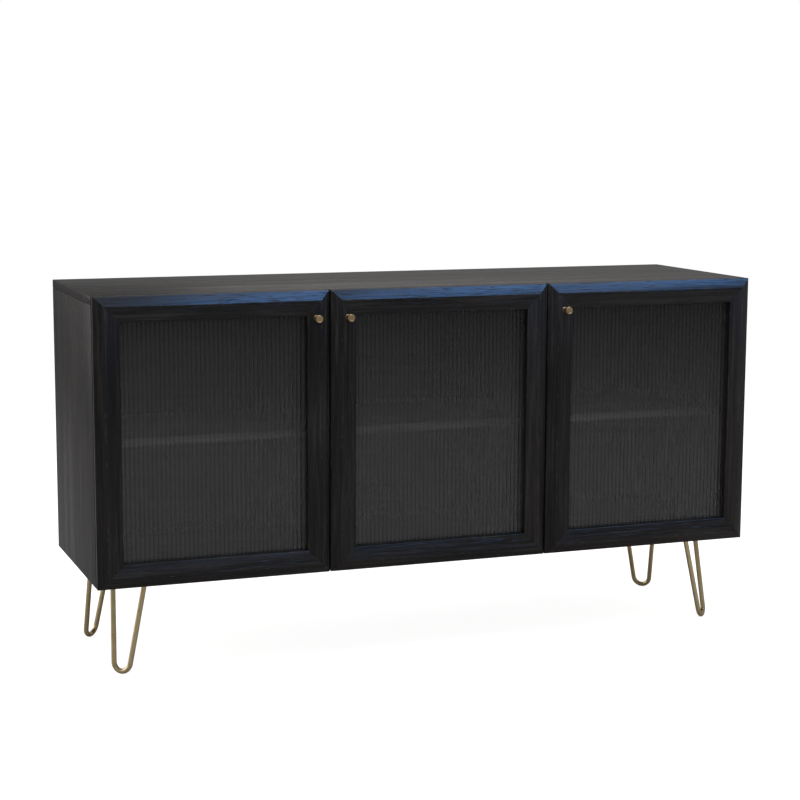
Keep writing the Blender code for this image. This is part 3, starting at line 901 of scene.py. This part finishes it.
cameraPlace = {
    "azimuth": 20.539,
    "pitch": 8.419,
    "roll": 0.231,
    "lens": 84.82,
    "sensor": 36,
    "right": -1.5122,
    "front": 3.80073,  # before the front of the carcase
    "height": 1.16777,
}


def makeCamera():
    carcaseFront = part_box("left_side_panel")[0].y
    place = Vector((cameraPlace["right"], carcaseFront - cameraPlace["front"], cameraPlace["height"]))
    turn = (Matrix.Rotation(-radians(cameraPlace["azimuth"]), 4, "Z")
            @ Matrix.Rotation(radians(90 - cameraPlace["pitch"]), 4, "X")
            @ Matrix.Rotation(radians(cameraPlace["roll"]), 4, "Z"))
    bpy.ops.object.camera_add()
    camera = bpy.context.active_object
    camera.matrix_world = Matrix.Translation(place) @ turn
    camera.data.lens = cameraPlace["lens"]
    camera.data.sensor_width = cameraPlace["sensor"]
    bpy.context.scene.camera = camera


studio = {
    "floorSize": 30,
    "floorTone": (0.80, 0.80, 0.795),
    "floorMottle": 0.985,
    "floorNoise": (3, 3),  # scale and detail
    "floorStops": (0.3, 0.7),
    "floorRoughness": 0.9,
    "floorGlow": 0.84,
    "floorBounce": (0.43, 0.43, 0.435),
    "worldSeen": (1.0, 1.0, 1.0),
    "worldLight": (0.21, 0.21, 0.21),
}


def makeFloor():
    deselectAll()
    bpy.ops.mesh.primitive_plane_add(size=studio["floorSize"], location=(0, 0, 0))
    floor = bpy.context.active_object
    floor.name = "paleFloor"
    material, nodes, links = newMaterial("palePaper")
    seen = nodes["Principled BSDF"]
    seen.inputs["Roughness"].default_value = studio["floorRoughness"]
    seen.inputs["Specular IOR Level"].default_value = 0
    coords = nodes.new("ShaderNodeTexCoord").outputs["Object"]
    mottle = addNoise(nodes, links, coords, *studio["floorNoise"])
    tone = studio["floorTone"]
    darker = tuple(studio["floorMottle"] * c for c in tone)
    paper = addRamp(nodes, links, mottle, list(zip(studio["floorStops"], (darker, tone))))
    links.new(paper, seen.inputs["Base Color"])
    seen.inputs["Emission Color"].default_value = (1, 1, 1, 1)
    seen.inputs["Emission Strength"].default_value = studio["floorGlow"]
    # the floor looks white but gives the furniture less light back
    bounce = nodes.new("ShaderNodeBsdfDiffuse")
    bounce.inputs["Color"].default_value = (*studio["floorBounce"], 1)
    chooseByRay(nodes, links, "Is Camera Ray", bounce.outputs["BSDF"], seen.outputs["BSDF"],
                "Material Output")
    paint(floor, material)


def makeWorld():
    world = bpy.data.worlds.new("studioWorld")
    bpy.context.scene.world = world
    world.use_nodes = True
    nodes, links = world.node_tree.nodes, world.node_tree.links
    lit = nodes["Background"]
    lit.inputs["Color"].default_value = (*studio["worldLight"], 1)
    shown = nodes.new("ShaderNodeBackground")
    shown.inputs["Color"].default_value = (*studio["worldSeen"], 1)
    chooseByRay(nodes, links, "Is Camera Ray", lit.outputs["Background"],
                shown.outputs["Background"], "World Output")


lamps = {
    # place, aim, turn, width, height, watts, colour, and whether it lights, shines or both
    "backSoftbox": (
        (2.5, 3.2, 3.0), (0.5, 0, 0.6), 0, 5.0, 1.6, 16.8, (1.0, 0.95, 0.93), "both"),
    "leftSoftbox": (
        (-3.6, 1.6, 1.5), (-0.6, 0, 0.45), 0, 3.0, 2.4, 36, (1.0, 0.95, 0.94), "both"),
    "skyPanel": (
        (1.8, -1.85, 3.2), (0.35, -0.2, 0.8), 0, 5.0, 1.5, 205, (0.18, 0.44, 1.0), "shine"),
    "topSoftbox": (
        (0, -0.6, 4.2), (0, -0.4, 0), 0, 4.0, 3.0, 76, (1.0, 0.98, 0.97), "both"),
    "floorStrip": (
        (2.75, -2.35, 1.3), (2.75, -2.35, 0), -38, 4.0, 0.8, 16, (1.0, 0.99, 0.98), "light"),
    "frontFill": (
        (-1.2, -3.4, 1.8), (0, -0.2, 0.5), 0, 2.0, 1.5, 20, (1.0, 0.99, 0.98), "light"),
}


def makeLamps():
    # the sky panel is screened from all but the door frames
    frameMembers = bpy.data.collections.new("frameMembers")
    for piece in bpy.data.objects:
        if piece.name.endswith(("Stile", "Rail")):
            frameMembers.objects.link(piece)

    for name, (place, aim, turn, width, height, watts, colour, does) in lamps.items():
        bpy.ops.object.light_add(type="AREA", location=place)
        lamp = bpy.context.active_object
        lamp.name = name
        lamp.data.shape = "RECTANGLE"
        lamp.data.size = width
        lamp.data.size_y = height
        lamp.data.energy = watts
        lamp.data.color = colour
        facing = (Vector(aim) - Vector(place)).to_track_quat("-Z", "Y").to_matrix()
        lamp.rotation_euler = (facing @ Matrix.Rotation(radians(turn), 3, "Z")).to_euler()
        lamp.visible_camera = False
        lamp.visible_diffuse = does != "shine"
        lamp.visible_glossy = does != "light"
        lamp.visible_transmission = does != "light"
        if name == "skyPanel":
            lamp.light_linking.receiver_collection = frameMembers


makeCamera()
makeFloor()
makeWorld()
makeLamps()
bpy.context.scene.view_settings.view_transform = "Standard"
print("studio made")

# what is left of the CAD is hinges and knob screws
for node in frame["nodes"].values():
    if not node.hide_render:
        node.data.materials.clear()
        paint(node, zincSteel)

bpy.context.view_layer.update()
